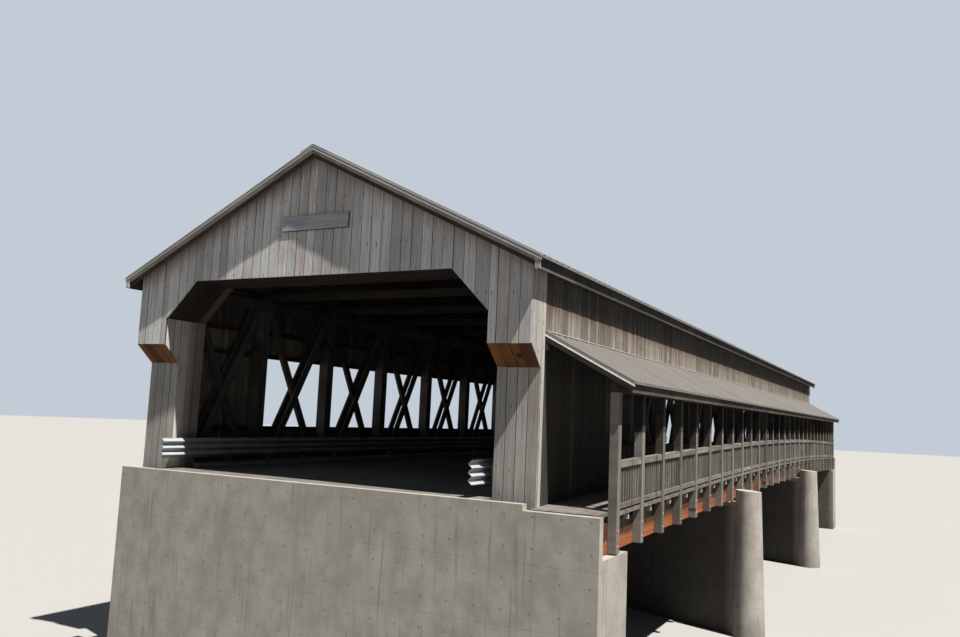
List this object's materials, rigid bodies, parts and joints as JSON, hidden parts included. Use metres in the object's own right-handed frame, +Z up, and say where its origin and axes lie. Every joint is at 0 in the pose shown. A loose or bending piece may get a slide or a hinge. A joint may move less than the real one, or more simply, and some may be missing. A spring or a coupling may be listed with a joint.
{
  "type": "covered bridge, half size model",
  "caption": "Half size model of a timber covered road bridge with gabled portals, X braced trusses, board walls and a roofed walkway along one side, on concrete piers.",
  "frame": {"origin": "on the foot of the near abutment, under the near gable's face, in the middle of the road", "axes": "+Y along the bridge from the near gable to the far one, +X towards the walkway's side, +Z up"},
  "size_m": [7.43, 24.22, 6.3511],
  "materials": {
    "concrete": "rough grey concrete",
    "road_surface": "worn road surface",
    "galvanised_steel": "dull galvanised",
    "glulam": "oiled laminated timber",
    "dark_timber": "old sawn timber",
    "grey_boards": "weathered rough boards",
    "cedar_soffit": "red brown boards",
    "roof_metal": "matt ribbed sheet",
    "trim_boards": "dark weathered boards",
    "walkway_wood": "weathered smooth timber"
  },
  "bodies": {
    "root": {"near_abutment": "concrete", "near_pier": "concrete", "far_pier": "concrete", "far_abutment": "concrete", "road_girders": "glulam", "road_deck": "road_surface", "kerbs": "concrete", "guard_rails": "galvanised_steel", "guard_rail_posts": "dark_timber", "left_truss_chords": "dark_timber", "left_truss_posts": "dark_timber", "left_truss_braces": "dark_timber", "right_truss_chords": "dark_timber", "right_truss_posts": "dark_timber", "right_truss_braces": "dark_timber", "wall_girts": "dark_timber", "left_low_wall": "grey_boards", "left_upper_wall": "grey_boards", "right_low_wall": "grey_boards", "right_upper_wall": "grey_boards", "end_wall_panels": "grey_boards", "portal_legs": "grey_boards", "near_gable": "grey_boards", "far_gable": "grey_boards", "portal_linings": "cedar_soffit", "corbels": "cedar_soffit", "sign_board": "trim_boards", "roof_beams": "dark_timber", "left_rafters": "dark_timber", "right_rafters": "dark_timber", "left_roof": "roof_metal", "right_roof": "roof_metal", "ridge_cap": "roof_metal", "eave_fascias": "trim_boards", "rake_boards": "trim_boards", "walkway_stringers": "glulam", "walkway_joists": "walkway_wood", "walkway_deck": "walkway_wood", "walkway_edge_boards": "walkway_wood", "walkway_posts": "walkway_wood", "walkway_railing": "walkway_wood", "walkway_beams": "dark_timber", "walkway_rafters": "dark_timber", "walkway_roof": "roof_metal", "walkway_trim": "trim_boards"}
  },
  "joints": []
}
